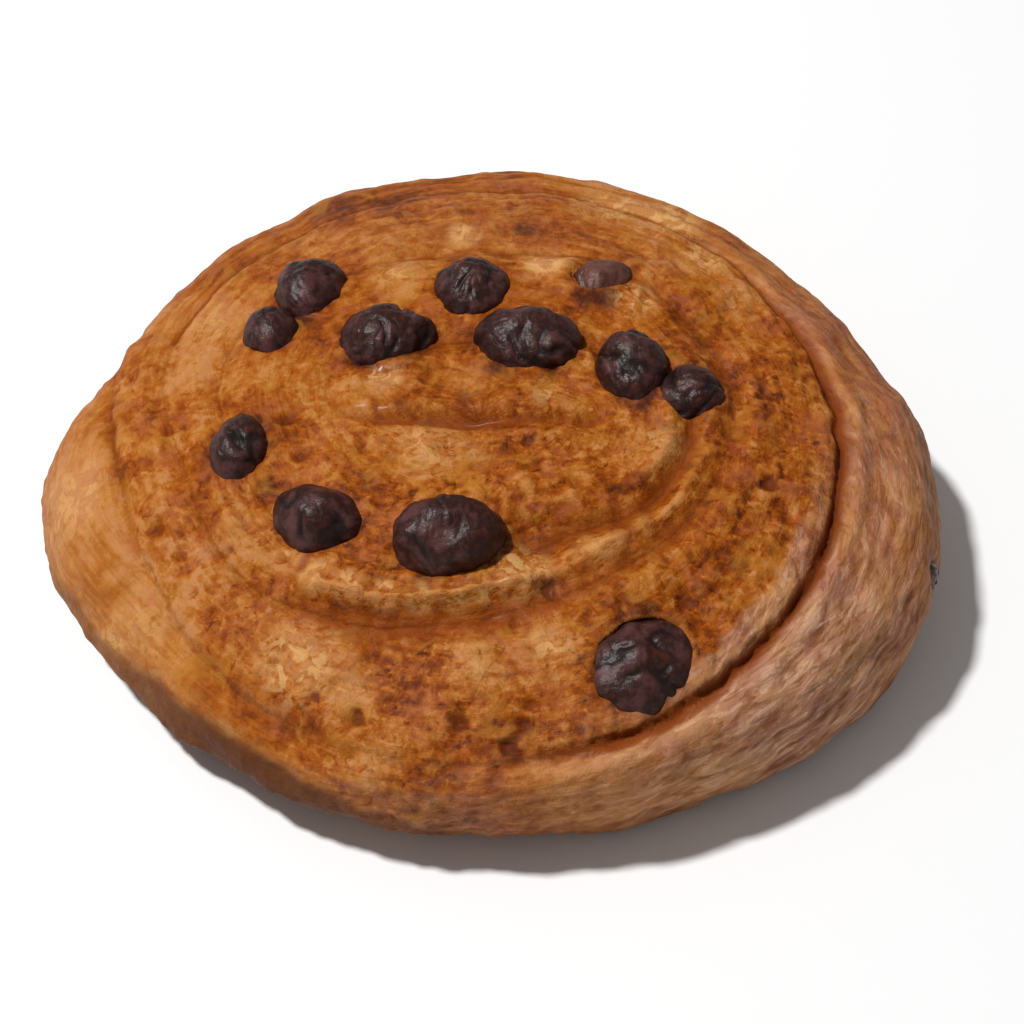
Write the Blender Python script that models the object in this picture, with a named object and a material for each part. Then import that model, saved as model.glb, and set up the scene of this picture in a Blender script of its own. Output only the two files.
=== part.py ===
# A raisin swirl: a strip of laminated dough, spread with custard and rolled up, baked as one
# thick slice with raisins caught between the coils. Metres, +Z up, resting on z = 0.

import math

import bmesh
import bpy
from mathutils import Matrix, Vector, noise

MM = 0.001

# The line between one coil and the next, followed inwards from the loose end at the upper left,
# as its distance from the heart of the roll every 30 degrees. One row for each turn.
ROLL_CENTRE = Vector((-0.6 * MM, -1.6 * MM))
LOOSE_END_ANGLE = math.radians(155.0)
COIL_RADII = (
    (47.4, 52.8, 46.4, 44.8, 44.4, 46.8, 52.6, 53.6, 50.0, 48.0, 47.4, 47.6),
    (47.2, 41.8, 40.4, 41.0, 41.0, 41.5, 41.4, 40.4, 40.4, 41.0, 41.0, 41.2),
    (40.6, 34.4, 32.6, 28.6, 25.4, 25.0, 26.8, 28.8, 29.4, 29.0, 27.6, 29.8),
    (32.6, 28.6, 25.4, 22.0, 18.8, 18.6, 22.4, 24.0, 18.4, 13.6, 12.0, 13.8),
)
# At the heart the line curls in and runs straight across, from left to right
HEART_RADIUS = 18.0 * MM
HEART_MIDDLE = -2.5 * MM
HEART_HALF_LENGTH = 15.5 * MM
HEART_DEPTH_START, HEART_DEPTH_END = 12.8 * MM, 0.1 * MM
HEART_TURN_IN = 0.09
HEART_CURL, HEART_CURL_LENGTH = 5.0 * MM, 1.8 * MM
# Every turn has the same stations, so that neighbouring walls have matching facets
STATIONS_PER_TURN = 48
DOUGH_SPAN = (0.017, 4.0)
CUSTARD_SPAN = (1.035, 4.54)

# The domed top
CENTRE_HEIGHT = 24.0 * MM
RIM_HEIGHT = 15.6 * MM
RIM_HIGHER_RIGHT = 1.6 * MM
RIM_HIGHER_BACK = 1.6 * MM
RIM_LOW_FRONT_LEFT = 1.4 * MM
DOME_POWER = 2.6
LUMP_HEIGHT, LUMP_SIZE = 0.7 * MM, 9.0 * MM

# Grooves between the coils
GAP = 0.3 * MM
SHOULDER_WIDTH = 3.4 * MM
GROOVE_DEPTH = 2.0 * MM
OUTER_GROOVE_DEEPER = 1.4 * MM
CUSTARD_THICKNESS = (1.0 * MM, 2.0 * MM)
CUSTARD_BELOW_CRUST = 0.5 * MM
CUSTARD_CROWN = 0.5 * MM
CUSTARD_BASE = 0.4 * MM

# The outside wall: rounded over at the rim, with the edges of its layers standing proud
RIM_DROP = 4.6 * MM
RIM_ROUNDING = 4.4 * MM
WALL_ROUNDING = 0.9 * MM
LAYER_STEP = 0.5 * MM
LAYER_SHARES = (0.26, 0.5, 0.74)
THIN_STRIP = 6.0 * MM
# Below this height the whole roll leans in to a narrower base, most of all at the front
LEAN_HEIGHT = 7.5 * MM
LEAN = 1.6 * MM
LEAN_FRONT = 3.4 * MM

# Raisins: name, centre x and y, how far the centre lies below the crust, then size along its
# own x, y and z, and the turn about z in degrees
RAISINS = (
    ("back_left", -21.2, 20.4, 0.2, 8.0, 7.2, 7.6, 30),
    ("left_of_back", -25.2, 13.6, 0.3, 6.4, 6.2, 6.6, 70),
    ("inner_left", -11.7, 11.6, 0.3, 11.0, 8.2, 8.4, 4),
    ("back", -1.8, 18.9, 0.2, 8.0, 8.6, 8.4, 0),
    ("inner_back", 4.6, 10.4, 0.3, 12.4, 8.0, 8.4, -4),
    ("back_right", 13.2, 21.4, 2.4, 8.4, 7.2, 7.6, 15),
    ("inner_right", 16.6, 6.7, 0.4, 7.8, 7.4, 8.0, 30),
    ("right_end", 23.7, 3.1, 0.6, 5.8, 6.2, 6.4, -20),
    ("left", -27.9, -4.4, 0.3, 5.8, 8.8, 7.2, -12),
    ("front_left", -18.7, -14.5, 0.2, 10.0, 8.6, 8.6, -20),
    ("front", -4.1, -18.2, -0.2, 12.4, 10.2, 10.0, 0),
    ("outer_front", 16.9, -31.4, 2.4, 12.4, 12.6, 8.6, 30),
    ("side", 49.9, -14.3, 0.0, 4.6, 5.4, 4.2, 0),
)
SIDE_RAISIN_HEIGHT = 11.5 * MM
RAISIN_AROUND, RAISIN_RINGS = 14, 7
RAISIN_FOLDS = 7
FOLD_DEPTH = 0.045
LOBE_SHARE = 0.06


def smooth(value):
    value = min(1.0, max(0.0, value))
    return value * value * (3.0 - 2.0 * value)


def bell(angle, middle_degrees, half_width_degrees):
    """1 in the middle direction, falling away on both sides of it."""
    apart = math.remainder(angle - math.radians(middle_degrees), math.tau)
    return math.exp(-((apart / math.radians(half_width_degrees)) ** 2))


def spiral_angle(turns):
    return LOOSE_END_ANGLE + math.tau * turns


def coil_radius(turns):
    """A smooth curve through the radii of COIL_RADII."""
    radii = [radius * MM for row in COIL_RADII for radius in row] + [HEART_RADIUS]
    place = turns * len(COIL_RADII[0])
    number = min(max(int(place), 0), len(radii) - 2)
    share = place - number
    before, start = radii[max(number - 1, 0)], radii[number]
    end, after = radii[number + 1], radii[min(number + 2, len(radii) - 1)]
    bend = 2.0 * before - 5.0 * start + 4.0 * end - after
    twist = 3.0 * start - before - 3.0 * end + after
    return start + 0.5 * share * (end - before + share * (bend + share * twist))


def spiral_point(turns):
    """The line between two coils, turning in at the heart to run straight across it."""
    angle = spiral_angle(turns)
    along = Vector((math.cos(angle), math.sin(angle)))
    if turns < len(COIL_RADII):
        return ROLL_CENTRE + along * coil_radius(turns)
    turned_in = smooth((turns - len(COIL_RADII)) / HEART_TURN_IN)
    depth = HEART_DEPTH_START + (HEART_DEPTH_END - HEART_DEPTH_START) * turned_in
    from_left = HEART_HALF_LENGTH * (1.0 + along.x)
    curl = HEART_CURL * math.exp(-from_left / HEART_CURL_LENGTH)
    x = HEART_MIDDLE - HEART_HALF_LENGTH + from_left
    return ROLL_CENTRE + Vector((x, depth * along.y + curl))


def beside_spiral(turns, outwards):
    ahead = spiral_point(turns + 0.004) - spiral_point(turns - 0.004)
    square = Vector((ahead.y, -ahead.x)).normalized()
    return spiral_point(turns) + square * outwards


def custard_thickness(turns):
    thin, thick = CUSTARD_THICKNESS
    thin *= 0.6 + 0.4 * smooth((turns - 1.0) / 0.15)
    return thin + (thick - thin) * smooth((turns - 1.8) / 0.6)


def out_share(point):
    """How far out a point lies, from 0 at the centre to 1 at the outside, and its direction."""
    from_centre = point - ROLL_CENTRE
    angle = math.atan2(from_centre.y, from_centre.x)
    turns = ((angle - LOOSE_END_ANGLE) / math.tau) % 1.0
    return min(1.0, from_centre.length / coil_radius(turns)), angle


def crust_height(point):
    """The height of the domed top, before the coils' edges round it off."""
    out, angle = out_share(point)
    rim = RIM_HEIGHT + RIM_HIGHER_RIGHT * math.cos(angle) + RIM_HIGHER_BACK * math.sin(angle)
    rim -= RIM_LOW_FRONT_LEFT * bell(angle, 225.0, 45.0)
    lump = LUMP_HEIGHT * noise.noise(Vector((point.x, point.y, 0.0)) / LUMP_SIZE)
    return CENTRE_HEIGHT - (CENTRE_HEIGHT - rim) * out**DOME_POWER + lump


def groove_depth(turns):
    """The outermost groove gapes at the right and has all but closed at the front."""
    angle = spiral_angle(turns)
    if turns >= 2.0:
        return GROOVE_DEPTH
    closed = 0.75 * bell(angle, 250.0, 40.0) + 0.6 * bell(angle, 160.0, 12.0)
    return GROOVE_DEPTH * (1.0 - closed) + OUTER_GROOVE_DEEPER * bell(angle, 340.0, 45.0)


def top_points(outer, inner, turns, outside):
    """Over the top of the strip, from its outer wall to its inner wall."""
    width = (outer - inner).length
    outer_width = SHOULDER_WIDTH + (RIM_ROUNDING - SHOULDER_WIDTH) * outside
    room = 0.47 * width
    outer_width, inner_width = min(outer_width, room), min(SHOULDER_WIDTH, room)
    places = [outer_width * share for share in (0.0, 0.22, 0.55, 1.0)]
    flat = width - outer_width - inner_width
    places += [outer_width + flat * share for share in (0.34, 0.67)]
    places += [width - inner_width * share for share in (1.0, 0.5, 0.18, 0.0)]
    outer_drop = groove_depth(turns) * (1.0 - outside) + RIM_DROP * outside
    points = []
    for place in places:
        point = outer.lerp(inner, place / width)
        from_outer = max(0.0, 1.0 - place / outer_width)
        from_inner = max(0.0, 1.0 - (width - place) / inner_width)
        drop = outer_drop * from_outer**2.2 + groove_depth(turns + 1.0) * from_inner**2
        points.append((point, crust_height(point) - drop))
    return points


def wall_points(outer, inner, top, angle, outside):
    """Down the outer wall; outside the roll each layer stands a little proud of the one below."""
    out = (outer - inner).normalized() * min(1.0, (outer - inner).length / THIN_STRIP)
    levels = []
    for layer in reversed(LAYER_SHARES):
        wander = 0.05 * noise.noise(Vector((3.0 * angle, 9.0 * layer, 0.0)))
        proud = 0.6 + 0.8 * noise.noise(Vector((2.2 * angle, 8.0 * layer, 1.0)))
        height = top * (layer + wander)
        levels += [(height + 0.3 * MM, 0.0), (height - 0.3 * MM, LAYER_STEP * max(0.0, proud))]
    levels += [(0.0, 0.3 * LAYER_STEP)]
    points = []
    for height, back in levels:
        off_middle = 2.0 * height / top - 1.0
        shift = -back - WALL_ROUNDING * off_middle**2
        points.append((outer + out * shift * outside, height))
    return points


def lean(point, height):
    """The place in space of a point of the plan at a height."""
    out, angle = out_share(point)
    most = LEAN + LEAN_FRONT * bell(angle, 250.0, 50.0)
    inwards = most * out * max(0.0, 1.0 - height / LEAN_HEIGHT)
    leant = point - (point - ROLL_CENTRE).normalized() * inwards
    return Vector((leant.x, leant.y, height))


def dough_section(turns):
    """One closed slice across the dough: outer wall, base, inner wall and top."""
    outside = 1.0 - smooth((turns - 0.93) / 0.1)
    inset = 0.5 * custard_thickness(turns) + GAP
    outer = beside_spiral(turns, -inset * (1.0 - outside))
    inner = beside_spiral(turns + 1.0, 0.5 * custard_thickness(turns + 1.0) + GAP)
    top = top_points(outer, inner, turns, outside)
    wall = wall_points(outer, inner, top[0][1], spiral_angle(turns), outside)
    inner_wall = [(inner, 0.0), (inner, LEAN_HEIGHT)]
    return [lean(point, height) for point, height in wall + inner_wall + top[::-1]]


def custard_section(turns):
    """One closed slice across the custard, a little below the edges of the coils beside it."""
    half = 0.5 * custard_thickness(turns)
    middle = spiral_point(turns)
    outer, inner = beside_spiral(turns, half), beside_spiral(turns, -half)
    edge = crust_height(middle) - groove_depth(turns) - CUSTARD_BELOW_CRUST
    corners = (
        (outer, edge), (outer, LEAN_HEIGHT), (outer, CUSTARD_BASE),
        (inner, CUSTARD_BASE), (inner, LEAN_HEIGHT), (inner, edge),
        (middle, edge + CUSTARD_CROWN),
    )
    return [lean(point, height) for point, height in corners]


def stations(first, last):
    """Positions along the roll: the shared stations, and the two ends."""
    step = 1.0 / STATIONS_PER_TURN
    shared = [number * step for number in range(int(first / step) + 1, math.ceil(last / step))]
    return [first, *shared, last]


def baked_material(name, colour, roughness):
    material = bpy.data.materials.new(name)
    material.use_nodes = True
    shader = material.node_tree.nodes["Principled BSDF"]
    shader.inputs["Base Color"].default_value = (*colour, 1.0)
    shader.inputs["Roughness"].default_value = roughness
    shader.inputs["Metallic"].default_value = 0.0
    return material


def finish(name, shape, material):
    mesh = bpy.data.meshes.new(name)
    shape.to_mesh(mesh)
    shape.free()
    mesh.shade_smooth()
    mesh.set_sharp_from_angle(angle=math.radians(50.0))
    mesh.materials.append(material)
    made = bpy.data.objects.new(name, mesh)
    bpy.context.scene.collection.objects.link(made)
    return made


def sweep(name, sections, material):
    """A closed solid through a row of cross-sections, capped at both ends."""
    shape = bmesh.new()
    rings = [[shape.verts.new(corner) for corner in section] for section in sections]
    for ring, following in zip(rings, rings[1:]):
        for number, corner in enumerate(ring):
            after = (number + 1) % len(ring)
            shape.faces.new((corner, ring[after], following[after], following[number]))
    shape.faces.new(reversed(rings[0]))
    shape.faces.new(rings[-1])
    bmesh.ops.triangulate(shape, faces=shape.faces)
    bmesh.ops.recalc_face_normals(shape, faces=shape.faces)
    return finish(name, shape, material)


def raisin_shape(name, size, turned, material):
    """A plump raisin: a ball with folds running from end to end and two uneven lobes."""
    shape = bmesh.new()
    bmesh.ops.create_uvsphere(shape, u_segments=RAISIN_AROUND, v_segments=RAISIN_RINGS, radius=0.5)
    for corner in shape.verts:
        around = math.atan2(corner.co.y, corner.co.x)
        belt = 2.0 * math.hypot(corner.co.x, corner.co.y)
        folds = FOLD_DEPTH * math.cos(RAISIN_FOLDS * around + turned) * belt**2
        lobes = LOBE_SHARE * math.cos(2.0 * around - turned) * belt
        corner.co *= 1.0 + folds + lobes
        corner.co = Vector((corner.co.x * size.x, corner.co.y * size.y, corner.co.z * size.z))
    bmesh.ops.rotate(shape, verts=shape.verts, matrix=Matrix.Rotation(turned, 3, "Z"))
    return finish(name, shape, material)


def add_press(raisin, size, presses):
    """The shape of the hollow that a raisin has pressed, GAP wider than the raisin all round."""
    press = raisin.copy()
    press.name = f"press_{raisin.name}"
    press.scale = [(side + 2.0 * GAP) / side for side in size]
    press.hide_render = True
    press.display_type = "WIRE"
    presses.objects.link(press)


def add_raisins(material, presses):
    for name, x, y, sunk, long, wide, high, degrees in RAISINS:
        size = Vector((long, wide, high)) * MM
        made = raisin_shape(f"raisin_{name}", size, math.radians(degrees), material)
        place = Vector((x, y)) * MM
        height = SIDE_RAISIN_HEIGHT if name == "side" else crust_height(place) - sunk * MM
        made.location = (place.x, place.y, height)
        add_press(made, size, presses)


def hollow_out(soft, presses):
    hollow = soft.modifiers.new("hollows under raisins", "BOOLEAN")
    hollow.operation = "DIFFERENCE"
    hollow.operand_type = "COLLECTION"
    hollow.collection = presses
    hollow.solver = "MANIFOLD"


def build():
    for old in list(bpy.data.objects):
        bpy.data.objects.remove(old)
    crust = baked_material("dough", (0.50, 0.22, 0.065), 0.45)
    cream = baked_material("custard", (0.62, 0.34, 0.10), 0.30)
    fruit = baked_material("raisin", (0.035, 0.018, 0.016), 0.35)
    dough = sweep("dough", [dough_section(turns) for turns in stations(*DOUGH_SPAN)], crust)
    custard = sweep("custard", [custard_section(turns) for turns in stations(*CUSTARD_SPAN)], cream)
    presses = bpy.data.collections.new("presses")
    bpy.context.scene.collection.children.link(presses)
    add_raisins(fruit, presses)
    hollow_out(dough, presses)
    hollow_out(custard, presses)


build()
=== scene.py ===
import math

import bpy
import numpy as np
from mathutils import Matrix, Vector, kdtree, noise


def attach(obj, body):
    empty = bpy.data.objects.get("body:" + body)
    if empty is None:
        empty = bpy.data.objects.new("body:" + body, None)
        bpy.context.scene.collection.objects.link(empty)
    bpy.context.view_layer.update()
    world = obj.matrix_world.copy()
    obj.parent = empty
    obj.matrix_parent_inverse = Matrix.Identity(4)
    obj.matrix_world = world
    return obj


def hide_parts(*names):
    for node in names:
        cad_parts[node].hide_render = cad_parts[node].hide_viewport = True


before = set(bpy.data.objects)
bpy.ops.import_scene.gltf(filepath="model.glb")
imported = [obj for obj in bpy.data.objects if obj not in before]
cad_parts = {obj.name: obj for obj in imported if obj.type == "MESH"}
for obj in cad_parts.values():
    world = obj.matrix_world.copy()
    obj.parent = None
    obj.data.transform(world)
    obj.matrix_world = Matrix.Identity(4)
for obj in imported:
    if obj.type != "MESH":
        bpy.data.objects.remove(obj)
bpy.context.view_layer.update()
mm = 0.001
noise.seed_set(5)  # without it noise_vector differs from run to run
print("frame loaded")

# where the coils lie: the same numbers as in the CAD source, in millimetres
roll = {
    "centre": (-0.6, -1.6),
    "looseEnd": 155.0,  # degrees
    "coilRadii": (
        (47.4, 52.8, 46.4, 44.8, 44.4, 46.8, 52.6, 53.6, 50.0, 48.0, 47.4, 47.6),
        (47.2, 41.8, 40.4, 41.0, 41.0, 41.5, 41.4, 40.4, 40.4, 41.0, 41.0, 41.2),
        (40.6, 34.4, 32.6, 28.6, 25.4, 25.0, 26.8, 28.8, 29.4, 29.0, 27.6, 29.8),
        (32.6, 28.6, 25.4, 22.0, 18.8, 18.6, 22.4, 24.0, 18.4, 13.6, 12.0, 13.8),
    ),
    "heartRadius": 18.0,
    "heartMiddle": -2.5,
    "heartHalfLength": 15.5,
    "heartDepth": (12.8, 0.1),
    "heartTurnIn": 0.09,
    "heartCurl": (5.0, 1.8),
    "centreHeight": 24.0,
    "rimHeight": 15.6,
    "rimHigher": (1.6, 1.6),  # to the right and at the back
    "rimLowFrontLeft": 1.4,
    "domePower": 2.6,
    "lumps": (0.7, 9.0),  # height and size
}
coilRadii = [radius for row in roll["coilRadii"] for radius in row] + [roll["heartRadius"]]


def soft(value, low=0.0, high=1.0):
    share = min(1.0, max(0.0, (value - low) / (high - low)))
    return share * share * (3.0 - 2.0 * share)


def bell(angle, middle, halfWidth):
    # 1 in the middle direction, in degrees, falling away on both sides of it
    apart = (angle - middle + 180.0) % 360.0 - 180.0
    return math.exp(-((apart / halfWidth) ** 2))


def bells(angle, entries):
    return sum(amount * bell(angle, middle, halfWidth) for amount, middle, halfWidth in entries)


def coilRadius(turns):
    place = turns * 12.0
    number = min(max(int(place), 0), len(coilRadii) - 2)
    share = place - number
    before, start = coilRadii[max(number - 1, 0)], coilRadii[number]
    end, after = coilRadii[number + 1], coilRadii[min(number + 2, len(coilRadii) - 1)]
    bend = 2.0 * before - 5.0 * start + 4.0 * end - after
    twist = 3.0 * start - before - 3.0 * end + after
    return start + 0.5 * share * (end - before + share * (bend + share * twist))


def coilPoint(turns):
    # the line between two coils, which turns in at the heart and runs straight across it
    angle = math.radians(roll["looseEnd"] + 360.0 * turns)
    x, y = math.cos(angle), math.sin(angle)
    if turns < 4.0:
        x, y = x * coilRadius(turns), y * coilRadius(turns)
    else:
        first, last = roll["heartDepth"]
        depth = first + (last - first) * soft((turns - 4.0) / roll["heartTurnIn"])
        fromLeft = roll["heartHalfLength"] * (1.0 + x)
        y = depth * y + roll["heartCurl"][0] * math.exp(-fromLeft / roll["heartCurl"][1])
        x = roll["heartMiddle"] - roll["heartHalfLength"] + fromLeft
    return Vector((roll["centre"][0] + x, roll["centre"][1] + y, 0.0))


def lineFinder(first, last, step=0.0012):
    count = int((last - first) / step)
    finder = kdtree.KDTree(count)
    for number in range(count):
        finder.insert(coilPoint(first + number * step), number)
    finder.balance()
    return finder, first, step


coilLines = lineFinder(1.0, 4.54)


def rollPlace(x, y):
    # turns along the strip, direction in degrees, how far in from the strip's outer edge, then the
    # distance to the nearest line between coils, inwards counted as positive, and the turns along it
    dx, dy = x - roll["centre"][0], y - roll["centre"][1]
    reach, angle = math.hypot(dx, dy), math.degrees(math.atan2(dy, dx)) % 360.0
    part = ((angle - roll["looseEnd"]) / 360.0) % 1.0
    coil = 0
    while coil < 3 and reach < coilRadius(coil + 1 + part):
        coil += 1
    finder, first, step = coilLines
    nearest, number, apart = finder.find((x, y, 0.0))
    lineTurns = first + number * step
    if lineTurns < 4.06:
        lineReach = math.hypot(nearest.x - roll["centre"][0], nearest.y - roll["centre"][1])
        inward = apart if reach < lineReach else -apart
    else:
        inward = apart if y > nearest.y else -apart
    if lineTurns < 2.0:
        # to the right the outermost line lies a little further out than in the CAD
        inward += 0.9 * bell(angle, 6.0, 20.0)
    return coil + part, angle, coilRadius(coil + part) - reach, inward, lineTurns


def crustHeight(x, y):
    # the domed top without its grooves
    dx, dy = x - roll["centre"][0], y - roll["centre"][1]
    angle = math.atan2(dy, dx)
    part = ((math.degrees(angle) - roll["looseEnd"]) / 360.0) % 1.0
    out = min(1.0, math.hypot(dx, dy) / coilRadius(part))
    toRight, toBack = roll["rimHigher"]
    rim = roll["rimHeight"] + toRight * math.cos(angle) + toBack * math.sin(angle)
    rim -= roll["rimLowFrontLeft"] * bell(math.degrees(angle), 225.0, 45.0)
    high, size = roll["lumps"]
    lump = high * noise.noise(Vector((x, y, 0.0)) / size)
    return roll["centreHeight"] - (roll["centreHeight"] - rim) * out ** roll["domePower"] + lump


shot = {
    "aim": (2.9, -3.1, 9.0),  # millimetres
    "elevation": 52.0,
    "distance": 335.0,
    "lens": 100.0,
}
light = {
    "from": 174.0,  # degrees round the roll, from the left and a little behind
    "elevation": 66.0,
    "distance": 1.2,
    "size": 0.12,
    "power": 15.0,
    "sky": 0.23,
    "floor": (0.87, 0.87, 0.87),
}


def onCrust(across, down):
    # the point of the crust that a pixel of the photograph shows, in millimetres
    up = math.radians(shot["elevation"])
    back, above = Vector((0.0, -math.cos(up), math.sin(up))), Vector((0.0, math.sin(up), math.cos(up)))
    eye = Vector(shot["aim"]) + back * shot["distance"]
    scale = 36.0 / (1024.0 * shot["lens"])
    ray = above * (512.0 - down) * scale - back
    ray.x = (across - 512.0) * scale
    height = 20.0
    for _ in range(14):
        spot = eye + ray * ((height - eye.z) / ray.z)
        height = 0.5 * (height + crustHeight(spot.x, spot.y))
    return spot.x, spot.y


def activate(piece):
    bpy.ops.object.select_all(action="DESELECT")
    piece.select_set(True)
    bpy.context.view_layer.objects.active = piece


def copyOfNode(node, name):
    # a CAD mesh is loose triangles, so the copy's doubles are merged first
    piece = bpy.data.objects.new(name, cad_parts[node].data.copy())
    piece.data.name = name
    piece.data.materials.clear()
    bpy.context.scene.collection.objects.link(piece)
    activate(piece)
    if piece.data.has_custom_normals:
        bpy.ops.mesh.customdata_custom_splitnormals_clear()
    bpy.ops.object.mode_set(mode="EDIT")
    bpy.ops.mesh.select_all(action="SELECT")
    bpy.ops.mesh.remove_doubles(threshold=0.00001)
    bpy.ops.object.mode_set(mode="OBJECT")
    return piece


def applyModifier(piece, kind, **settings):
    activate(piece)
    modifier = piece.modifiers.new(kind.lower(), kind)
    for setting, value in settings.items():
        setattr(modifier, setting, value)
    bpy.ops.object.modifier_apply(modifier=modifier.name)


def pointsOf(piece):
    points = np.empty(len(piece.data.vertices) * 3)
    piece.data.vertices.foreach_get("co", points)
    return points.reshape(-1, 3) / mm


def setPoints(piece, points):
    piece.data.vertices.foreach_set("co", (points * mm).ravel())
    piece.data.update()


def normalsOf(piece):
    normals = np.empty(len(piece.data.vertices) * 3)
    piece.data.vertex_normals.foreach_get("vector", normals)
    return normals.reshape(-1, 3)


def relaxed(piece, points, rounds):
    # every point drawn to the middle of its neighbours, again and again
    edges = np.empty(len(piece.data.edges) * 2, dtype=np.int32)
    piece.data.edges.foreach_get("vertices", edges)
    ends = edges.reshape(-1, 2)
    counts = np.bincount(edges, minlength=len(points)).astype(float)
    for _ in range(rounds):
        total = np.empty_like(points)
        for axis in range(3):
            total[:, axis] = np.bincount(ends[:, 0], points[ends[:, 1], axis], len(points))
            total[:, axis] += np.bincount(ends[:, 1], points[ends[:, 0], axis], len(points))
        points = total / counts[:, None]
    return points


def keepLargestPart(piece):
    activate(piece)
    bpy.ops.object.mode_set(mode="EDIT")
    bpy.ops.mesh.select_all(action="SELECT")
    bpy.ops.mesh.separate(type="LOOSE")
    bpy.ops.object.mode_set(mode="OBJECT")
    parts = sorted(bpy.context.selected_objects, key=lambda part: -len(part.data.vertices))
    for part in parts[1:]:
        bpy.data.objects.remove(part)
    return parts[0]


def thinOut(piece, chosen, ratio):
    # fewer faces where nothing is seen: chosen tells where by a face's middle, in millimetres
    activate(piece)
    bpy.ops.object.mode_set(mode="EDIT")
    bpy.ops.mesh.select_mode(type="FACE")
    bpy.ops.mesh.select_all(action="DESELECT")
    bpy.ops.object.mode_set(mode="OBJECT")
    for face in piece.data.polygons:
        face.select = chosen(face.center / mm)
    bpy.ops.object.mode_set(mode="EDIT")
    bpy.ops.mesh.decimate(ratio=ratio)
    bpy.ops.object.mode_set(mode="OBJECT")


def store(piece, name, values):
    kind = "FLOAT" if np.ndim(values) == 1 else "FLOAT_VECTOR"
    attribute = piece.data.attributes.new(name, kind, "POINT")
    field = "value" if kind == "FLOAT" else "vector"
    attribute.data.foreach_set(field, np.asarray(values, dtype=np.float32).ravel())


class Value:
    # one socket of a shader, so that the maths between sockets reads as ordinary sums
    def __init__(self, finish, socket):
        self.finish, self.socket = finish, socket

    def sum(self, operation, first, second):
        return self.finish.node("ShaderNodeMath", {"operation": operation}, {0: first, 1: second})

    def __add__(self, other):
        return self.sum("ADD", self, other)

    def __radd__(self, other):
        return self.sum("ADD", other, self)

    def __sub__(self, other):
        return self.sum("SUBTRACT", self, other)

    def __rsub__(self, other):
        return self.sum("SUBTRACT", other, self)

    def __mul__(self, other):
        return self.sum("MULTIPLY", self, other)

    def __rmul__(self, other):
        return self.sum("MULTIPLY", other, self)


class Finish:
    def __init__(self, name):
        self.material = bpy.data.materials.new(name)
        self.material.use_nodes = True
        self.tree = self.material.node_tree
        self.shader = self.tree.nodes["Principled BSDF"]

    def node(self, kind, settings=None, sockets=None, output=0):
        made = self.tree.nodes.new(kind)
        for setting, value in (settings or {}).items():
            if setting == "stops":
                self.setStops(made.color_ramp, value)
            else:
                setattr(made, setting, value)
        for socket, value in (sockets or {}).items():
            self.feed(made.inputs[socket], value)
        return Value(self, made.outputs[output])

    def setStops(self, ramp, stops):
        while len(ramp.elements) < len(stops):
            ramp.elements.new(1.0)
        for element, (position, colour) in zip(ramp.elements, stops):
            element.position = position
            element.color = (*colour, 1.0)

    def feed(self, socket, value):
        if isinstance(value, Value):
            self.tree.links.new(value.socket, socket)
        elif isinstance(value, tuple) and len(value) == 3 and socket.type == "RGBA":
            socket.default_value = (*value, 1.0)
        else:
            socket.default_value = value

    def place(self):
        # the point on the piece in millimetres
        spot = self.node("ShaderNodeTexCoord", output=3)
        return self.node("ShaderNodeVectorMath", {"operation": "SCALE"}, {0: spot, "Scale": 1.0 / mm})

    def scaled(self, spot, sizes):
        return self.node("ShaderNodeVectorMath", {"operation": "MULTIPLY"}, {0: spot, 1: sizes})

    def attribute(self, name, vector=False):
        return self.node("ShaderNodeAttribute", {"attribute_name": name}, output=1 if vector else 2)

    def grain(self, spot, size, detail=3.0, roughness=0.55, bent=0.0):
        # cloudy noise from 0 to 1 with spots of about the size, in millimetres
        sockets = {"Vector": spot, "Scale": 1.0 / size, "Detail": detail, "Roughness": roughness}
        return self.node("ShaderNodeTexNoise", sockets={**sockets, "Distortion": bent})

    def between(self, value, low, high):
        sockets = {"Value": value, "From Min": low, "From Max": high}
        return self.node("ShaderNodeMapRange", {"interpolation_type": "SMOOTHSTEP"}, sockets)

    def stretched(self, *grain):
        # the same noise drawn out until it reaches both 0 and 1
        return self.between(self.grain(*grain), 0.34, 0.66)

    def ramp(self, value, stops):
        return self.node("ShaderNodeValToRGB", {"stops": stops}, {0: value})

    def mix(self, share, first, second):
        return self.node("ShaderNodeMix", {"data_type": "RGBA"}, {0: share, 6: first, 7: second}, output=2)

    def bump(self, height, distance, strength=1.0, under=None):
        sockets = {"Height": height, "Distance": distance * mm, "Strength": strength}
        if under is not None:
            sockets["Normal"] = under
        return self.node("ShaderNodeBump", sockets=sockets)

    def set(self, **sockets):
        for name, value in sockets.items():
            self.feed(self.shader.inputs[name.replace("_", " ")], value)


def makeCamera():
    up = math.radians(shot["elevation"])
    back = Vector((0.0, -math.cos(up), math.sin(up)))
    eye = Vector(shot["aim"]) * mm + back * shot["distance"] * mm
    bpy.ops.object.camera_add(location=eye, rotation=(math.pi / 2 - up, 0.0, 0.0))
    camera = bpy.context.object
    camera.name = "camera"
    camera.data.lens = shot["lens"]
    camera.data.sensor_width = 36.0
    camera.data.clip_start = 0.01
    bpy.context.scene.camera = camera


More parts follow.
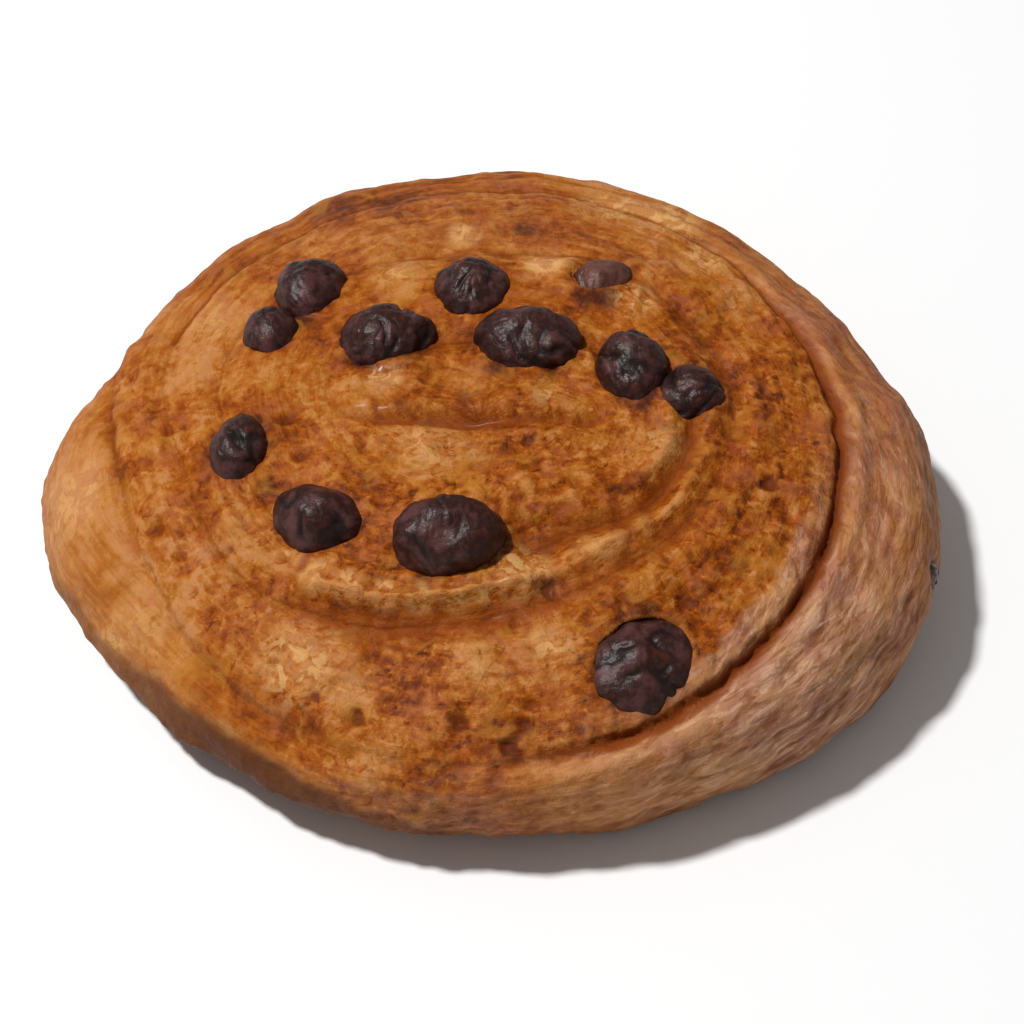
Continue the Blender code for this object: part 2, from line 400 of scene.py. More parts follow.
def makeLight():
    up, around = math.radians(light["elevation"]), math.radians(light["from"])
    towards = Vector((math.cos(up) * math.cos(around), math.cos(up) * math.sin(around), math.sin(up)))
    bpy.ops.object.light_add(type="AREA", location=towards * light["distance"])
    lamp = bpy.context.object
    lamp.name = "window"
    lamp.rotation_euler = towards.to_track_quat("Z", "Y").to_euler()
    lamp.data.shape = "DISK"
    lamp.data.size = light["size"]
    lamp.data.energy = light["power"]
    world = bpy.data.worlds.new("studio")
    world.use_nodes = True
    world.node_tree.nodes["Background"].inputs["Color"].default_value = (1.0, 1.0, 1.0, 1.0)
    world.node_tree.nodes["Background"].inputs["Strength"].default_value = light["sky"]
    bpy.context.scene.world = world
    bpy.context.scene.view_settings.view_transform = "Standard"


def makeFloor():
    bpy.ops.mesh.primitive_plane_add(size=3.0)
    floor = bpy.context.object
    floor.name = "floor"
    finish = Finish("floor")
    finish.set(Base_Color=light["floor"], Roughness=0.9)
    finish.shader.inputs["Specular IOR Level"].default_value = 0.1
    floor.data.materials.append(finish.material)


makeCamera()
makeLight()
makeFloor()
print("camera, light and floor made")

dough = {
    "swell": 0.42,  # closes the CAD's gaps round custard and raisins, millimetres
    "voxel": 0.45,
    "smoothing": 5,
    "fillingRaised": 0.4,
    "flatBelow": 0.3,  # the underside, laid flat
    "grooveKept": 0.12,  # how much of the CAD's wide grooves stays under the finer ones
    "rimWidth": 12.0,
    # how far the rim is lowered, then drawn in: millimetres, direction and half width in degrees
    "rimLowered": ((3.6, 203, 36), (1.2, 22, 28)),
    "rimDrawnIn": ((1.5, 24, 26), (1.7, 196, 15), (-0.6, 171, 9)),
    "turnLength": 251.0,  # of the strip, once round
    "flakeSlope": 0.38,  # of the flakes on the wrap's side, down along the strip
    # from 0 for tan to 1 for brown, then what is added by direction in the same way
    "wrapBrowned": 0.17,
    "wrapBrownedMore": (
        (0.01, 225, 25), (0.42, 260, 20), (0.26, 335, 40), (0.34, 30, 35), (0.44, 105, 40), (0.20, 145, 20),
    ),
    "innerBrowned": 0.46,
    "innerBrownedMore": ((0.02, 345, 60), (-0.12, 172, 40)),
    "wrapPaler": ((0.20, 205, 40),),
    "layerSpacing": 1.7,  # of the ledges where layers of dough end
    # darker crust round the raisins, partly their stain and partly painted contact shade
    "raisinStain": (0.45, 1.5),  # strength and reach
    "raisinLip": (0.35, 1.2, 1.1),  # height, then its distance and width
    "pores": ((3.3, 0.50, 0.7), (1.9, 0.62, 0.4)),  # spacing, share of places without one, depth
    # the finer grooves, line by line from the outermost: direction in degrees, spread, depth, half
    # width, then how far the dough stands up just inside and just outside the groove
    "grooves": (
        (
            (173, 15, 0.75, 0.7, 0.1, 0.4), (200, 14, 0.15, 1.0, 0.1, 0.2), (222, 22, 0.08, 0.9, 0.1, 0.1),
            (260, 18, 0.05, 0.8, 0.0, 0.0), (298, 14, 0.9, 0.75, 0.1, 0.5), (338, 28, 1.5, 0.72, 0.1, 0.7),
            (12, 14, 1.2, 0.72, 0.2, 0.5), (40, 20, 0.5, 0.5, 0.1, 0.3), (100, 40, 0.45, 0.55, 0.1, 0.3),
        ),
        (
            (170, 22, 0.15, 0.9, 0.0, 0.2), (210, 18, 0.4, 1.8, 0.6, 0.0), (262, 30, 0.9, 2.0, 1.3, 0.0),
            (310, 22, 0.7, 1.8, 0.6, 0.1), (355, 26, 0.5, 1.5, 0.3, 0.3), (50, 30, 0.4, 1.2, 0.3, 0.2),
            (110, 35, 0.4, 1.0, 0.3, 0.1),
        ),
        (
            (170, 30, 0.15, 1.0, 0.1, 0.1), (215, 22, 0.1, 1.0, 0.0, 0.2), (262, 26, 0.08, 1.0, -0.2, 0.2),
            (305, 18, 1.0, 1.7, -0.3, 0.6), (345, 18, 1.0, 1.2, 0.7, 0.3), (15, 18, 0.5, 1.1, 0.4, 0.2),
            (90, 50, 0.6, 1.4, 0.3, 0.2),
        ),
        ((180, 60, 0.25, 0.9, 0.2, 0.0), (270, 60, 0.9, 0.9, 0.6, 0.2), (335, 40, 0.5, 1.0, 0.4, 0.3)),
    ),
    # what the photograph shows on the crust: the pixel, the radius in millimetres and the strength
    "holes": {
        "front, large": (455, 720, 1.2, 1.0),
        "front, left of it": (357, 722, 1.0, 0.7),
        "front, streak above": (533, 706, 0.9, 0.5),
        "front, streak": (525, 728, 1.1, 0.7),
        "front, foot of the streak": (512, 748, 1.1, 0.8),
        "beside the glaze": (552, 590, 1.0, 0.8),
        "right of the glaze": (566, 586, 0.7, 0.5),
        "right": (770, 486, 1.0, 0.8),
        "right, its neighbour": (752, 498, 0.9, 0.4),
        "right, inner": (790, 519, 0.8, 0.5),
        "right, at the back": (765, 398, 1.0, 0.4),
        "right front, upper": (722, 570, 0.8, 0.4),
        "right front, lower": (690, 604, 1.1, 0.6),
        "left band, first": (157, 400, 0.7, 0.35),
        "left band, second": (168, 432, 0.7, 0.35),
        "left band, third": (188, 432, 0.6, 0.3),
        "left, single": (156, 532, 0.8, 0.5),
        "left, lower": (182, 560, 0.8, 0.4),
        "left, lower still": (148, 562, 0.7, 0.35),
        "front left, first": (210, 622, 0.8, 0.4),
        "front left, second": (188, 614, 0.7, 0.35),
        "between raisins, back": (283, 424, 0.8, 0.6),
        "between raisins, middle": (299, 460, 0.8, 0.6),
        "between raisins, right": (366, 450, 0.8, 0.5),
    },
    # spots taken darker: deeper browning, and painted shade under and beside the raisins and under the
    # ridge
    "toasted": {
        "right": (765, 520, 9.0, 0.18), "right back": (792, 440, 8.0, 0.18),
        "back right": (745, 385, 6.0, 0.15), "right front": (700, 590, 7.0, 0.20),
        "behind the outer raisin": (645, 612, 5.0, 0.20), "link between two raisins": (268, 492, 1.5, 1.1),
        "behind the left raisin": (288, 432, 2.2, 0.6), "under the inner raisin": (372, 366, 2.4, 1.0),
        "under it, right": (412, 362, 1.8, 0.8), "under the long raisin": (505, 366, 2.2, 1.0),
        "under it, further right": (550, 366, 2.0, 0.9), "under the right pair": (640, 398, 2.4, 1.2),
        "under the back left pair": (298, 322, 2.2, 1.2),
        "under the back right raisin": (598, 300, 2.6, 0.7),
        "right, spot": (700, 590, 2.4, 0.35), "wrap, first": (150, 642, 3.0, 0.22),
        "wrap, second": (200, 684, 3.0, 0.28), "wrap, third": (243, 706, 3.5, 0.3),
        "front, orange": (470, 715, 5.0, 0.32), "front, orange too": (405, 712, 3.5, 0.25),
        "right, dark": (745, 490, 2.4, 0.35), "right, dark too": (770, 400, 2.6, 0.3),
        "side of the groove": (800, 590, 2.0, 0.3), "front": (520, 735, 4.5, 0.35),
        "front left": (268, 725, 4.5, 0.40), "front rim": (430, 775, 3.5, 0.30),
        "back strip": (345, 212, 4.0, 0.50), "back strip, middle": (392, 203, 4.5, 0.40),
        "back left": (335, 228, 5.0, 0.20), "back": (560, 228, 5.0, 0.15),
        "upper right": (700, 300, 6.0, 0.20), "far right": (742, 342, 5.0, 0.20),
        "middle": (520, 468, 5.0, 0.10), "under the glaze": (540, 532, 4.5, 0.45),
        "middle right": (640, 505, 4.0, 0.20), "heart, left": (400, 408, 3.0, 0.35),
        "heart": (462, 410, 3.0, 0.45), "heart, right": (525, 406, 2.5, 0.35),
        "left": (190, 470, 4.0, 0.15), "left edge": (157, 430, 3.0, 0.25), "crease": (120, 470, 2.5, 0.40),
        "between raisins": (365, 478, 3.0, 0.30), "left raisin": (290, 440, 4.0, 0.25),
        "front, middle": (440, 690, 4.0, 0.15), "outer raisin, left": (588, 668, 3.0, 0.40),
        "outer raisin, back": (640, 620, 3.5, 0.40), "outer raisin, right": (700, 675, 3.0, 0.35),
        "small dark spot": (522, 231, 1.6, 0.9), "under the ridge, first": (290, 598, 2.4, 0.35),
        "under the ridge, second": (335, 616, 2.2, 0.35), "under the ridge, third": (385, 626, 2.2, 0.30),
        "under the ridge, fourth": (435, 628, 2.2, 0.30), "under the ridge, fifth": (485, 620, 2.2, 0.30),
    },
    "glossy": {
        "back": (465, 236, 2.0, 1.0), "behind the raisins": (541, 262, 2.5, 0.8),
        "back right": (660, 266, 3.0, 1.0), "heart's end": (684, 445, 2.5, 0.9),
        "glaze": (515, 575, 3.0, 0.8), "between raisins": (300, 305, 3.0, 0.6),
        "under the raisin": (385, 386, 3.0, 0.7), "heart": (455, 440, 4.0, 0.4),
        "right": (745, 395, 5.0, 0.3),
    },
    "pale": {
        "front left, specks": (300, 662, 5.0, 0.9), "front left, higher": (332, 640, 3.5, 0.6),
        "front left, lower": (352, 690, 4.0, 0.5), "front": (480, 668, 4.0, 0.6),
        "front, right": (552, 650, 3.5, 0.7), "front, low": (392, 748, 3.0, 0.4),
        "front, edge": (372, 768, 3.0, 0.5), "ridge, left": (288, 560, 2.2, 0.7),
        "ridge, first": (318, 578, 2.2, 0.8), "ridge, second": (350, 589, 2.2, 0.8),
        "ridge, third": (385, 597, 2.2, 0.8), "ridge, fourth": (420, 602, 2.2, 0.7),
        "ridge, fifth": (455, 601, 2.2, 0.7), "ridge, end": (485, 592, 2.2, 0.7),
        "glaze": (522, 574, 4.0, 0.9), "glaze, right": (600, 545, 3.5, 0.6),
        "glaze, end": (640, 522, 3.0, 0.4),
        "middle": (430, 446, 5.0, 0.7), "middle, left": (400, 432, 3.5, 0.5),
        "middle, right": (474, 458, 4.0, 0.4), "heart's end": (655, 450, 4.5, 0.6),
        "custard": (545, 266, 3.0, 1.0), "back left": (395, 280, 4.0, 0.6),
        "back right": (635, 302, 3.0, 0.9), "back ridge": (610, 208, 5.0, 0.8),
        "back ridge, right": (665, 222, 5.0, 0.9), "back right, streak": (700, 262, 4.0, 0.7),
        "back right, streak below": (735, 300, 4.0, 0.5), "back, middle": (465, 236, 2.6, 0.8),
        "under the raisin": (382, 384, 2.4, 1.0), "wrap's edge, first": (100, 628, 2.6, 0.7),
        "wrap's edge, second": (135, 676, 2.6, 0.7), "wrap's edge, third": (175, 712, 2.6, 0.7),
        "wrap's edge, fourth": (222, 742, 2.6, 0.6), "heart": (470, 384, 4.0, 0.4),
        "heart, right": (545, 395, 3.0, 0.6), "upper left": (215, 330, 8.0, 0.5),
        "upper left, lower": (190, 375, 6.0, 0.3), "left, golden": (235, 535, 4.0, 0.4),
        "left wrap": (70, 490, 8.0, 0.4), "front left wrap": (150, 620, 7.0, 0.3),
        "right of the raisins": (700, 400, 3.0, 0.4),
    },
}


def mixedAround(entries):
    # the numbers of the entries for every whole degree round the roll
    columns = list(zip(*entries))[2:]
    rows = []
    for degree in range(361):
        weights = [bell(degree, entry[0], entry[1]) + 1e-9 for entry in entries]
        total = sum(weights)
        rows.append([sum(w * number for w, number in zip(weights, column)) / total for column in columns])
    return rows


def placedOnCrust(entries):
    # the entries with the point of the crust in place of the pixel that shows it
    return [(*onCrust(across, down), radius, amount) for across, down, radius, amount in entries.values()]


grooveShapes = [mixedAround(entries) for entries in dough["grooves"]]
spots = {kind: placedOnCrust(dough[kind]) for kind in ("holes", "toasted", "pale", "glossy")}


def raisinFinder():
    nodes = [node for name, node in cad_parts.items() if "raisin" in name]
    corners = [vertex.co / mm for node in nodes for vertex in node.data.vertices]
    finder = kdtree.KDTree(len(corners))
    for number, corner in enumerate(corners):
        finder.insert(corner, number)
    finder.balance()
    return finder


raisinCorners = raisinFinder()


def amountAt(kind, x, y):
    most = 0.0
    for spotX, spotY, radius, strength in spots[kind]:
        apart = math.hypot(x - spotX, y - spotY) / radius
        if apart < 2.2:
            most = max(most, strength * math.exp(-(apart * apart)))
    return most


def insideWrap(place, spot):
    # 0 on the outermost coil and 1 within it, changing gradually where the photograph shows no edge
    turns, angle, across, inward, lineTurns = place
    if lineTurns < 1.95 and abs(inward) < 3.5:
        width = 0.5 + 2.0 * bell(angle, 218.0, 55.0)
        return soft(inward + 1.2 * width * noise.noise(spot / 2.6), -width, width)
    return soft(turns, 0.97, 1.03) if across < 14.0 else 1.0


def characterOf(place, spot, up):
    # how porous, layered, dull and open to the side a place is, and how much painted shade it takes low on
    # the wall under the rim
    turns, angle, across, inward, lineTurns = place
    wrap = 1.0 - insideWrap(place, spot)
    porous = (1.0 - wrap) * (0.35 + 0.5 * max(bell(angle, 255.0, 60.0), bell(angle, 345.0, 55.0)))
    porous = max(porous, wrap * 0.8 * bell(angle, 258.0, 20.0))
    layered = max(wrap * bell(angle, 85.0, 62.0), 0.6 * bell(angle, 75.0, 50.0) * soft(across, 7.0, 3.0))
    dull = max(bell(angle, 318.0, 34.0), 0.6 * bell(angle, 352.0, 26.0), 0.35 * bell(angle, 25.0, 25.0))
    dull *= wrap
    side = wrap * (1.0 - soft(up, 0.35, 0.8)) * soft(across, 8.0, 5.0)
    # painted shade low on the wall, strongest at the front left
    high = 7.4 + 4.4 * bell(angle, 234.0, 26.0) + 0.8 * noise.noise(spot / 5.0)
    under = side * (1.0 - soft(spot.z, high - 1.3, high + 0.9)) * (0.3 + 0.7 * bell(angle, 232.0, 36.0))
    dull = max(dull, 0.12 * bell(angle, 105.0, 45.0) * soft(spot.y, 20.0, 30.0))
    if lineTurns < 2.0 and 0.3 < inward < 4.5:
        # a dusty band just inside the outermost groove
        uneven = inward + noise.noise(spot / 2.0)
        dull = max(dull, 0.8 * bell(angle, 322.0, 26.0) * soft(inward, 0.3, 0.9) * soft(uneven, 4.0, 2.4))
    return porous, layered, max(dull, 0.35 * side * (1.0 - bell(angle, 200.0, 45.0))), side, under


def crustRelief(spot, place, character):
    # how far a point of the crust moves out, and how open a pore and how deep a crease it lies in
    turns, angle, across, inward, lineTurns = place
    porous, layered, dull, side, under = character
    along, alongLine = dough["turnLength"] * turns, dough["turnLength"] * lineTurns
    wander = noise.noise(spot / 5.0)
    small = noise.noise(spot / 1.3)
    middling = noise.noise(spot / 2.6 + Vector((0.0, 9.0, 0.0)))
    top = 1.0 - side
    rough = (0.25 + 0.75 * porous) * (1.0 - 0.6 * dull)
    rough *= 0.8 + 0.9 * noise.noise(spot / 7.0 + Vector((3.0, 0.0, 0.0)))
    flakes = amountAt("pale", spot.x, spot.y)
    move = 0.55 * noise.fractal(spot / 8.0, 0.9, 2.1, 2) + (0.52 * middling + 0.36 * small) * rough
    move += 0.55 * rough * (0.5 - abs(noise.noise(spot / 2.2 + Vector((4.0, 0.0, 1.0)))))
    move += 0.75 * porous * flakes * (0.4 - abs(noise.noise(spot / 1.3 + Vector((0.0, 0.0, 6.0)))))
    # dough risen against the raisins
    high, distance, width = dough["raisinLip"]
    move += high * top * math.exp(-(((raisinCorners.find(spot)[2] - distance) / width) ** 2))
    # layers of dough ending along the strip
    shelf = ((across + 0.8 * wander + 0.35 * noise.noise(spot / 1.8)) / dough["layerSpacing"]) % 1.0
    ledge = shelf * soft(shelf, 1.0, 0.82)
    streak = noise.noise(Vector((across / 0.85, along / 8.0, turns * 3.0)))
    move += top * (layered * (0.36 * ledge + 0.16 * streak) + 0.10 * streak)
    # flakes and folds of the wrap's side, slanting down towards the front
    slant = spot.z + across - dough["flakeSlope"] * along
    fold = noise.noise(Vector((slant / 1.7 + 0.9 * wander, along / 4.5, 2.0)))
    flake = noise.noise(Vector((slant / 0.9 + 0.8 * middling, along / 2.3, 9.0)))
    move += max(dull, 0.6 * side) * (0.22 * (1.0 - abs(fold) * 2.2) + 0.20 * flake + 0.10 * small)
    # grooves between the coils
    line = min(int(lineTurns), 4) - 1
    lineAngle = int((roll["looseEnd"] + 360.0 * lineTurns) % 360.0)
    depth, halfWidth, liftInside, liftOutside = grooveShapes[line][lineAngle]
    start = soft(lineTurns, 1.02, 1.06) if line == 0 else 1.0
    ragged = inward + 0.35 * noise.noise(spot / 4.0)
    depth *= start * (1.0 + 0.35 * noise.noise(Vector((alongLine / 7.0, 3.0, line))))
    crease = math.exp(-((abs(ragged) / halfWidth) ** 1.7))
    lift = start * (liftInside if inward > 0.0 else liftOutside)
    lift *= 1.0 + 0.5 * noise.noise(Vector((alongLine / 5.0, 1.0, line)))
    shoulder = math.exp(-(((abs(ragged) - halfWidth - 1.2) / 1.2) ** 2))
    move += lift * shoulder - depth * crease
    # pores
    pore = 0.0
    for holeX, holeY, radius, deep in spots["holes"]:
        apart = math.hypot(spot.x - holeX, spot.y - holeY) / radius
        if apart < 2.5:
            opening = math.exp(-(abs(apart + 0.7 * small + 0.7 * middling) ** 3))
            move -= top * deep * opening
            pore = max(pore, opening * soft(deep, 0.2, 1.0))
    for size, chosen, deep in dough["pores"]:
        cell, centres = noise.voronoi(spot / size + Vector((11.0, 5.0, size)))[0:2]
        chance = noise.cell(centres[0] * 7.3)
        if chance > chosen:
            opening = math.exp(-((cell[0] / 0.20) ** 2)) * soft(chance, chosen, chosen + 0.3)
            move -= top * porous * deep * opening
            pore = max(pore, 0.8 * porous * opening)
    return move, pore, crease * min(1.5, depth)


def browningAndShadeOf(place, spot):
    # how brown the crust is, from 0 for tan to 1 for brown, with painted shade added round the raisins and
    # in some of the darker spots
    angle = place[1]
    wrap = dough["wrapBrowned"] + bells(angle, dough["wrapBrownedMore"])
    inner = dough["innerBrowned"] + bells(angle, dough["innerBrownedMore"])
    base = wrap + (inner - wrap) * insideWrap(place, spot)
    strength, reach = dough["raisinStain"]
    apart = raisinCorners.find(spot)[2] + 0.8 * noise.noise(spot / 1.7)
    stainAndShade = strength * math.exp(-((max(0.0, apart) / reach) ** 2))
    return base + stainAndShade + amountAt("toasted", spot.x, spot.y) - 0.5 * amountAt("pale", spot.x, spot.y)


def doughBody():
    # one closed body that also fills the room for the custard and the raisins
    piece = copyOfNode("dough", "dough_baked")
    filling = copyOfNode("custard", "filling")
    applyModifier(piece, "DISPLACE", strength=dough["swell"] * mm, mid_level=0.0)
    applyModifier(filling, "DISPLACE", strength=1.6 * dough["swell"] * mm, mid_level=0.0)
    points = pointsOf(filling)
    points[:, 2] += dough["fillingRaised"]
    setPoints(filling, points)
    activate(piece)
    filling.select_set(True)
    bpy.ops.object.join()
    applyModifier(piece, "REMESH", mode="VOXEL", voxel_size=dough["voxel"] * mm)
    piece = keepLargestPart(piece)
    points = pointsOf(piece)
    points[:, 2] = np.where(points[:, 2] < dough["flatBelow"], 0.0, points[:, 2])
    setPoints(piece, points)
    thinOut(piece, lambda middle: middle.z < 0.02, 0.02)
    print("dough remeshed:", len(piece.data.polygons), "faces")
    return piece


def fillAndRound(points, places):
    # the CAD's grooves are mostly filled, and the left and front left of the wrap rounded right over
    for number, (x, y, z) in enumerate(points):
        turns, angle, across = places[number][:3]
        fromRim = across if turns < 1.0 else 99.0
        domed = crustHeight(x, y) + dough["swell"]
        if z > 7.5 and fromRim > 3.0:
            filled = (domed - z) * (1.0 - dough["grooveKept"]) * soft(fromRim, 3.5, 7.0)
            points[number, 2] += max(filled, -0.5)
        if fromRim < dough["rimWidth"]:
            nearRim = max(0.0, 1.0 - max(0.0, fromRim) / dough["rimWidth"]) ** 1.6
            points[number, 2] *= 1.0 - bells(angle, dough["rimLowered"]) * nearRim / max(z, 11.0)
            dx, dy = x - roll["centre"][0], y - roll["centre"][1]
            shrink = 1.0 - bells(angle, dough["rimDrawnIn"]) * nearRim / math.hypot(dx, dy)
            points[number, :2] = roll["centre"][0] + dx * shrink, roll["centre"][1] + dy * shrink


def makeDough():
    piece = doughBody()
    points = pointsOf(piece)
    base = points[:, 2] < dough["flatBelow"]
    points = relaxed(piece, points, dough["smoothing"])
    points[base, 2] = 0.0
    setPoints(piece, points)
    places = [rollPlace(x, y) for x, y, z in points]
    fillAndRound(points, places)
    # eased all over, and the strip's loose end much more
    eased = relaxed(piece, points, 6)
    tip = coilPoint(0.02) + Vector((1.5, -1.0, 0.0))
    nearTip = np.exp(-(((points[:, 0] - tip.x) ** 2 + (points[:, 1] - tip.y) ** 2) / 30.0))
    veryEased = relaxed(piece, eased, 60)
    points = eased + (veryEased - eased) * nearTip[:, None]
    points[base, 2] = 0.0
    setPoints(piece, points)
    normals = normalsOf(piece)
    names = ("porous", "layered", "dull", "side", "under", "pore", "crease", "browning", "pale", "glossy")
    amounts = {name: np.zeros(len(points)) for name in names}
    strip = np.zeros((len(points), 3))
    for number, (x, y, z) in enumerate(points):
        place, spot = places[number], Vector((x, y, z))
        character = characterOf(place, spot, normals[number][2])
        move, pore, crease = crustRelief(spot, place, character)
        points[number] += normals[number] * move * soft(z, 0.2, 2.0)
        wrap = 1.0 - insideWrap(place, spot)
        paleness = amountAt("pale", x, y) + wrap * bells(place[1], dough["wrapPaler"])
        found = (*character, pore, crease, browningAndShadeOf(place, spot), paleness, amountAt("glossy", x, y))
        for name, amount in zip(names, found):
            amounts[name][number] = amount
        strip[number] = (dough["turnLength"] * place[0], place[2], z)
    points = 0.45 * points + 0.55 * relaxed(piece, points, 1)
    points[:, 2] = np.where(base, 0.0, np.maximum(points[:, 2], 0.0))
    setPoints(piece, points)
    # how far each point lies below its neighbours, over a small and a wide reach; the finish paints shade
    # into the hollows from these
    for name, rounds in (("hollow", 4), ("sunken", 40)):
        store(piece, name, np.einsum("ij,ij->i", relaxed(piece, points, rounds) - points, normalsOf(piece)))
    store(piece, "strip", strip)
    slanting = strip[:, 1] + strip[:, 2] - dough["flakeSlope"] * strip[:, 0]
    store(piece, "slant", np.stack([slanting / 1.2, strip[:, 0] / 3.4, strip[:, 1] / 5.0], axis=1))
    for name, values in amounts.items():
        store(piece, name, values)
    piece.data.shade_smooth()
    piece.data.materials.append(doughFinish())
    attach(piece, "root")
    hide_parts("dough")


doughColours = {
    "light": (0.455, 0.190, 0.066),
    "tan": (0.43, 0.165, 0.040),
    "gold": (0.37, 0.118, 0.015),
    "orange": (0.31, 0.075, 0.005),
    "brown": (0.205, 0.041, 0.003),
    "dark": (0.075, 0.015, 0.004),
    "pore": (0.105, 0.020, 0.005),
    "cream": (0.63, 0.345, 0.125),
    "rosy": (0.36, 0.098, 0.030),
    "yellow": (0.41, 0.160, 0.020),
    "dull": (0.43, 0.225, 0.105),
    "dullRosy": (0.38, 0.185, 0.130),
    "dullDark": (0.21, 0.085, 0.040),
    "flake": (0.62, 0.38, 0.24),
    # painted shade for the low wall under the rim
    "under": (0.10, 0.030, 0.010),
}


def doughFinish():
    c = doughColours
    finish = Finish("dough baked")
    spot = finish.place()
    strip = finish.attribute("strip", vector=True)
    hollow, sunken = finish.attribute("hollow"), finish.attribute("sunken")
    dull, under = finish.attribute("dull"), finish.attribute("under")
    porous, pore, crease = finish.attribute("porous"), finish.attribute("pore"), finish.attribute("crease")
    browning, pale = finish.attribute("browning"), finish.attribute("pale")
    clouds = finish.stretched(spot, 7.0, 3.0, 0.6, 0.4)
    mottle = finish.stretched(spot, 2.1, 4.0, 0.62, 0.6)
    speckle = finish.stretched(spot, 0.8, 3.0, 0.6)
    tint = finish.grain(finish.scaled(spot, (1.0, 1.0, 0.4)), 4.5, 3.0, 0.6, 0.8)
    streaks = finish.stretched(finish.scaled(strip, (0.12, 1.0, 1.0)), 1.0, 3.0, 0.6, 0.3)
    # the crust: tan where it is thin, orange to brown where it took more heat, with painted shade in its
    # hollows and painted light where it stands up
    layered = finish.attribute("layered")
    blotch = finish.between(finish.grain(spot, 1.45, 3.0, 0.6, 0.8), 0.55, 0.68)
    fleck = finish.between(finish.grain(spot, 1.15, 3.0, 0.6, 0.5), 0.56, 0.67)
    uneven = (clouds - 0.5) * 0.34 + (mottle - 0.5) * (0.24 + porous * 0.32)
    uneven = uneven + (speckle - 0.5) * (0.12 + porous * 0.24)
    # the hollow and sunken terms are painted shade, darker where the crust lies lower than round it
    browned = browning + uneven + (streaks - 0.5) * (0.30 + layered * 0.20) + hollow * 0.9 + sunken * 0.10
    browned = browned + blotch * (0.08 + porous * 0.50) - fleck * (0.08 + porous * 0.32)
    stops = (
        (0.0, c["light"]), (0.13, c["tan"]), (0.26, c["gold"]), (0.42, c["orange"]), (0.63, c["brown"]),
        (0.95, c["dark"]),
    )
    colour = finish.ramp(browned * 0.667 + 0.1, stops)
    colour = finish.mix(finish.between(tint, 0.54, 0.68) * 0.5, colour, c["rosy"])
    colour = finish.mix(finish.between(tint, 0.46, 0.32) * 0.5, colour, c["yellow"])
    creamy = finish.between(pale, 0.15, 0.8) * finish.between(mottle, 0.35, 0.9) * 0.8
    colour = finish.mix(creamy, colour, c["cream"])
    # painted light: raised spots turned towards tan
    colour = finish.mix(finish.between(hollow, -0.03, -0.14) * 0.3, colour, c["tan"])
    # the wrap's side: dull and paler, with light flakes and dark strokes slanting across the layers
    slant = finish.attribute("slant", vector=True)
    flakes = finish.grain(slant, 1.0, 4.0, 0.62, 0.6)
    flaky = finish.mix(clouds, c["dull"], c["dullRosy"])
    # painted shade in the hollows of the side, mixed with its mottling
    flaky = finish.mix(finish.between(hollow + mottle * 0.12, 0.04, 0.22) * 0.8, flaky, c["dullDark"])
    flaky = finish.mix(finish.between(flakes, 0.52, 0.62) * 0.8, flaky, c["flake"])
    flaky = finish.mix(finish.between(flakes, 0.47, 0.38) * 0.85, flaky, c["dullDark"])
    colour = finish.mix(dull * 0.85, colour, flaky)
    # painted shade on the low wall under the rim
    colour = finish.mix(under * 0.95, colour, c["under"])
    # painted shade in hollows and creases; pores dark partly from browning and partly as painted shade
    colour = finish.mix(finish.between(hollow, 0.05, 0.22) * 0.5, colour, c["brown"])
    colour = finish.mix(finish.between(crease, 0.10, 0.85) * 0.75, colour, c["brown"])
    colour = finish.mix(finish.between(crease, 0.85, 1.5) * 0.8, colour, c["dark"])
    colour = finish.mix(finish.between(pore, 0.1, 0.7) * 0.75, colour, c["pore"])
    bumped = finish.bump(speckle * 0.4 + mottle * 0.3, 0.25, 0.5)
    bumped = finish.bump(streaks * 0.4 + flakes * dull, 0.25, 0.5, bumped)
    finish.set(
        Base_Color=colour,
        Roughness=0.50 + (mottle - 0.5) * 0.14 + dull * 0.2 + crease * 0.1,
        Normal=bumped,
        Coat_Weight=finish.attribute("glossy") * 0.5,
    )
    finish.shader.inputs["Specular IOR Level"].default_value = 0.07
    finish.shader.inputs["Coat Roughness"].default_value = 0.24
    return finish.material


custard = {
    "swell": 0.15,
    "voxel": 0.45,
    "sunk": 0.5,  # under the floor of the grooves, millimetres
    "unseenBelow": 7.0,
    "topDepth": (6.0, 3.0),  # under the crust: where the moves of its top begin and where they are full
    "widened": 1.3,  # to each side where it shows
    "reliefKept": 0.1,
    # where it shows, by the pixel of the photograph: radius and rise over the crust
    "shows": {
        "behind the raisins": (540, 268, 3.2, 0.7),
        "right of the front raisin": (520, 577, 3.5, 0.35),
        "further right": (590, 550, 3.0, 0.25),
        "under the inner left raisin": (385, 387, 2.5, 0.5),
        "beside the back right raisin": (632, 306, 2.6, 0.5),
        "back left": (392, 282, 2.4, 0.3),
    },
    "colours": {"set": (0.50, 0.24, 0.060), "browned": (0.26, 0.080, 0.014), "fresh": (0.66, 0.42, 0.15)},
}


